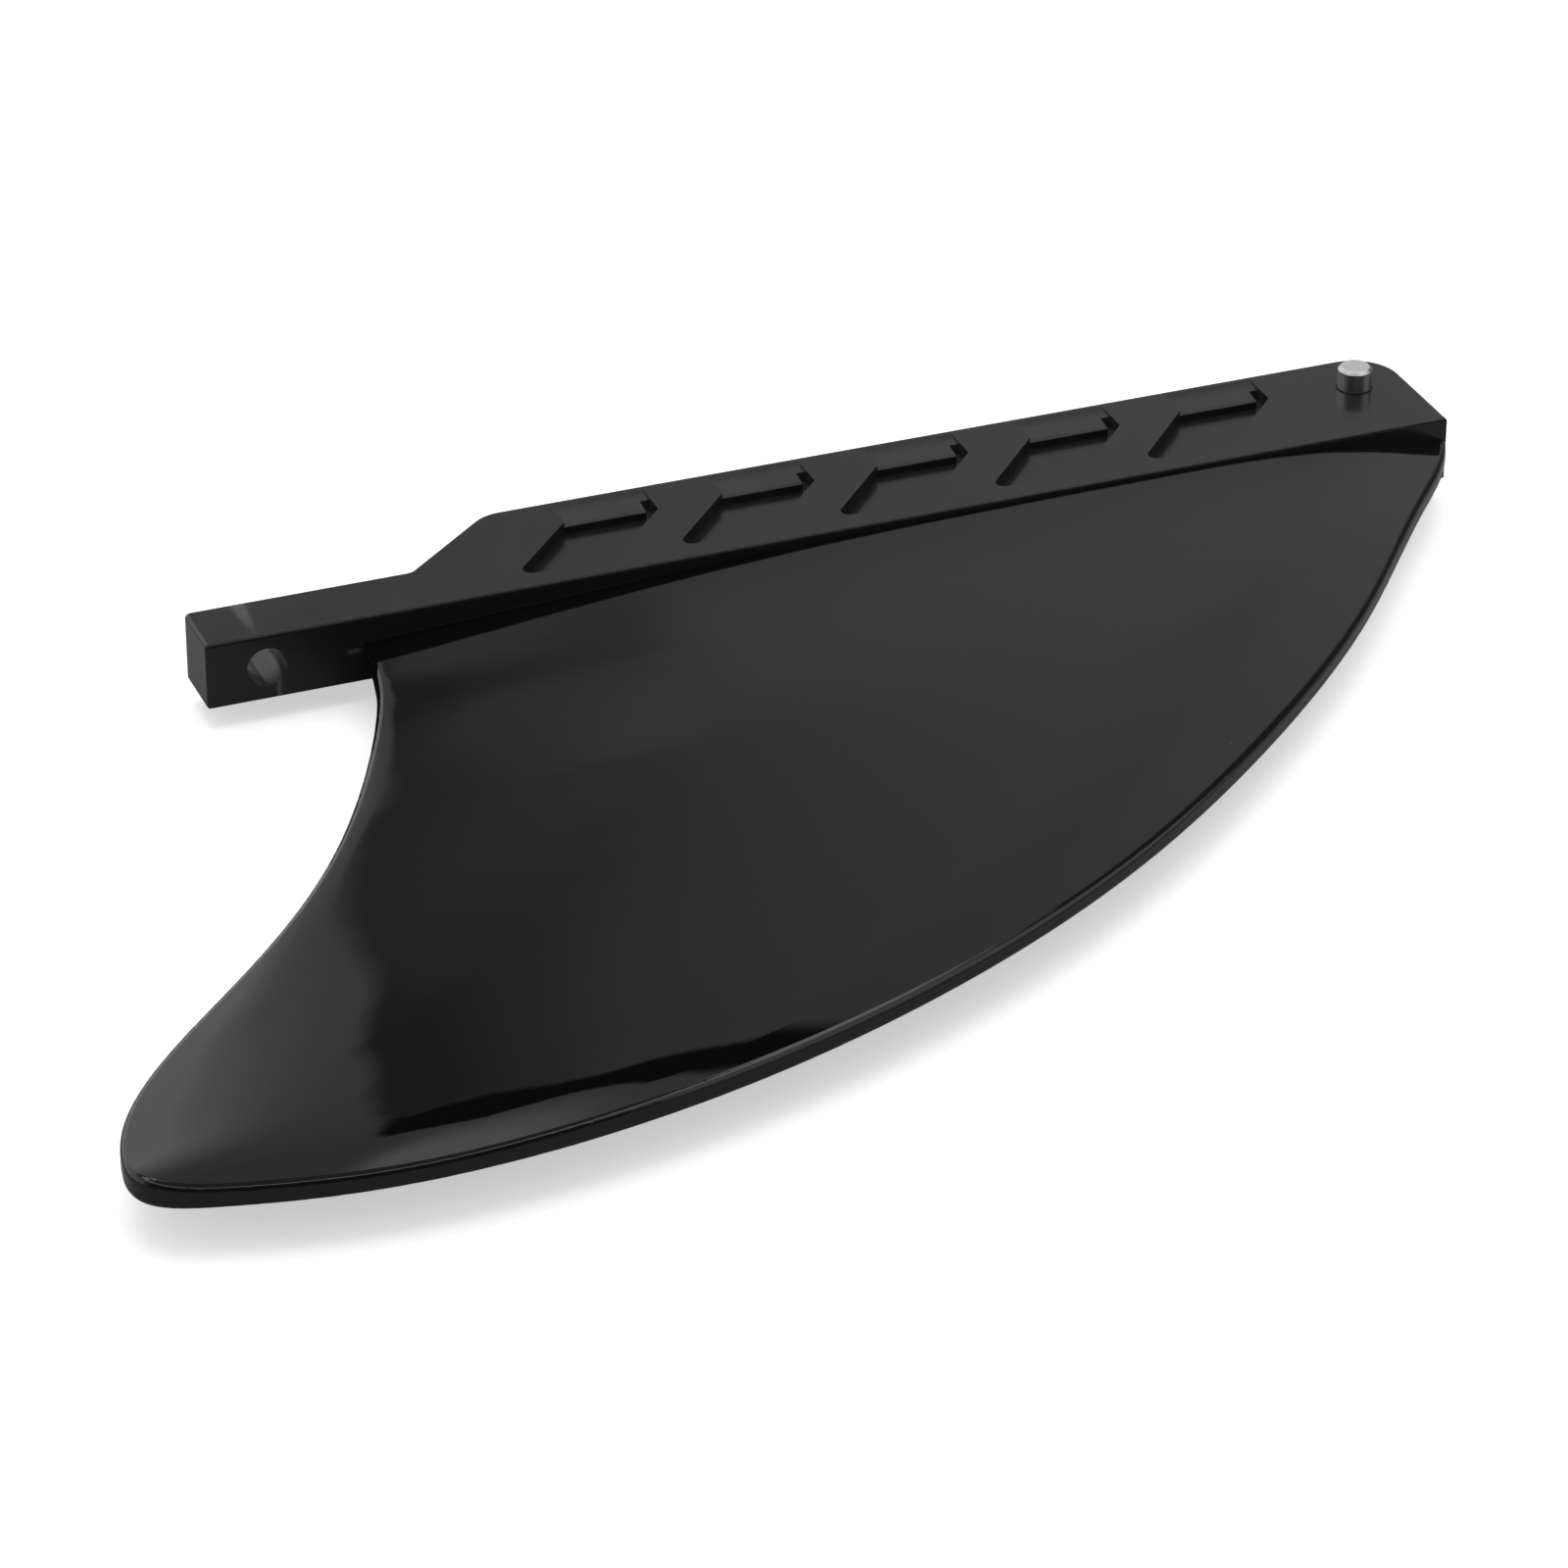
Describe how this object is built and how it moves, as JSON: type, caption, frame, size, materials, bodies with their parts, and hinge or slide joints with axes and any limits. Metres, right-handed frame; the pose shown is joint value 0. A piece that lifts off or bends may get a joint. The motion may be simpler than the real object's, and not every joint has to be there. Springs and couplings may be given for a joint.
{
  "type": "surfboard fin",
  "caption": "Raked single fin of moulded plastic with a foiled blade, a rectangular base tongue with slanted grip pockets, a screw tab and a metal cross pin.",
  "frame": {"origin": "centre of the screw hole where it opens on the tongue's tip-facing face, on the fin's mid-plane", "axes": "+X along the tongue towards the leading end, +Y into the board, away from the blade's tip, +Z across the thickness"},
  "size_m": [0.2215, 0.1413, 0.016],
  "materials": {
    "moulding": "black, glossy on the blade and satin on the tongue",
    "pin": "plain drawn rod"
  },
  "bodies": {
    "root": {"fin": "moulding", "cross_pin": "pin"}
  },
  "joints": []
}
